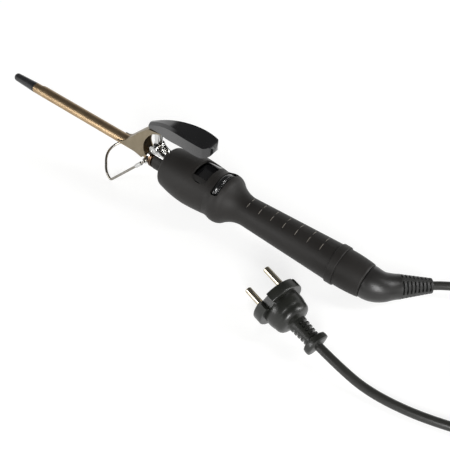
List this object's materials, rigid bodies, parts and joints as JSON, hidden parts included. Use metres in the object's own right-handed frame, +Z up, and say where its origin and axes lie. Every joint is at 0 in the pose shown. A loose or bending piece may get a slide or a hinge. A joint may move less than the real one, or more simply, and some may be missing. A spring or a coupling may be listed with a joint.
{
  "type": "curling iron",
  "caption": "Slim curling iron with a sprung clamp and arched thumb lever, wire rest, rocker switch, heat dial, waisted handle and swivel mains lead laid in a curve.",
  "frame": {"origin": "on the surface the iron lies on, under the middle of the box round the iron itself (tip to strain relief), without the lead and plug", "axes": "+X along the iron from the cool tip to the lead, +Y across it, +Z up, on the side of the thumb lever; the rod rises 3 degrees towards the tip because the iron leans on its wire rest"},
  "size_m": [0.5148, 0.127, 0.0686],
  "materials": {
    "barrel_coating": "satin bronze coating",
    "yoke_steel": "satin grey-bronze coating",
    "tip_moulding": "heat-proof moulding, satin",
    "ceramic": "fired ceramic",
    "dark_chrome": "dark bright plating",
    "handle_moulding": "soft-touch black",
    "bright_plating": "bright nickel-chrome plate",
    "spring_steel": "plated spring wire",
    "gloss_moulding": "piano black",
    "screw_steel": "blackened steel",
    "black_housing": "plain black moulding",
    "dial_moulding": "black, fine knurl",
    "board_green": "circuit board",
    "wire_insulation": "glass-braid sleeve",
    "contact_brass": "turned brass",
    "elbow_moulding": "satin black",
    "lead_sheath": "black PVC sheath",
    "plug_moulding": "black PVC moulding",
    "pin_plating": "nickel-plated brass"
  },
  "bodies": {
    "iron": {"brush_block": "black_housing", "circuit_board": "board_green", "cool_tip": "tip_moulding", "front_collar": "handle_moulding", "handle_far_shell": "handle_moulding", "handle_near_shell": "handle_moulding", "handle_screws": "screw_steel", "heat_break": "dark_chrome", "heat_control": "black_housing", "heater_core": "ceramic", "heater_leads": "wire_insulation", "hinge_bracket": "bright_plating", "hinge_bushes": "bright_plating", "pivot_pin": "bright_plating", "rear_band": "handle_moulding", "rest_ring": "bright_plating", "rod_tube": "barrel_coating", "supply_leads": "wire_insulation", "switch_block": "black_housing", "switch_frame": "gloss_moulding", "thermal_fuse": "ceramic", "torsion_spring": "spring_steel"},
    "clamp": {"clamp_spoon": "barrel_coating", "clamp_yoke": "yoke_steel", "hinge_lugs": "bright_plating", "thumb_lever": "gloss_moulding", "lever_rivets": "bright_plating"},
    "wire_rest": {"wire_rest": "bright_plating", "rest_sleeves": "bright_plating"},
    "rocker": {"rocker_switch": "gloss_moulding"},
    "dial": {"heat_dial": "dial_moulding"},
    "lead": {"swivel_elbow": "elbow_moulding", "swivel_drum": "black_housing", "contact_rings": "contact_brass", "strain_relief": "elbow_moulding", "lead_out": "lead_sheath", "lead_coil": "lead_sheath", "lead_back": "lead_sheath", "plug_body": "plug_moulding", "plug_pins": "pin_plating"}
  },
  "joints": [
    {"name": "clamp_hinge", "type": "hinge", "parent": "iron", "child": "clamp", "pos_m": [-0.0327, -0.00237, 0.03585], "axis": [0, 1, 0], "range_deg": [0, 17], "stiffness_Nm_per_rad": 0.35, "springref_deg": -17.19, "deforming": ["torsion_spring"]},
    {"name": "rest_hinge", "type": "hinge", "parent": "iron", "child": "wire_rest", "pos_m": [-0.03964, -0.00237, 0.0238], "axis": [0, -1, 0], "range_deg": [0, 118]},
    {"name": "switch_rock", "type": "hinge", "parent": "iron", "child": "rocker", "pos_m": [0.01464, -0.00237, 0.03337], "axis": [0.9986, 0, -0.0523], "range_deg": [0, 8]},
    {"name": "heat_dial_turn", "type": "hinge", "parent": "iron", "child": "dial", "pos_m": [0.03081, -0.00237, 0.02471], "axis": [0.9986, 0, -0.0523], "range_deg": [0, 240]},
    {"name": "lead_swivel", "type": "hinge", "parent": "iron", "child": "lead", "pos_m": [0.1528, -0.00237, 0.01371], "axis": [0.9986, 0, -0.0523], "continuous": true}
  ]
}
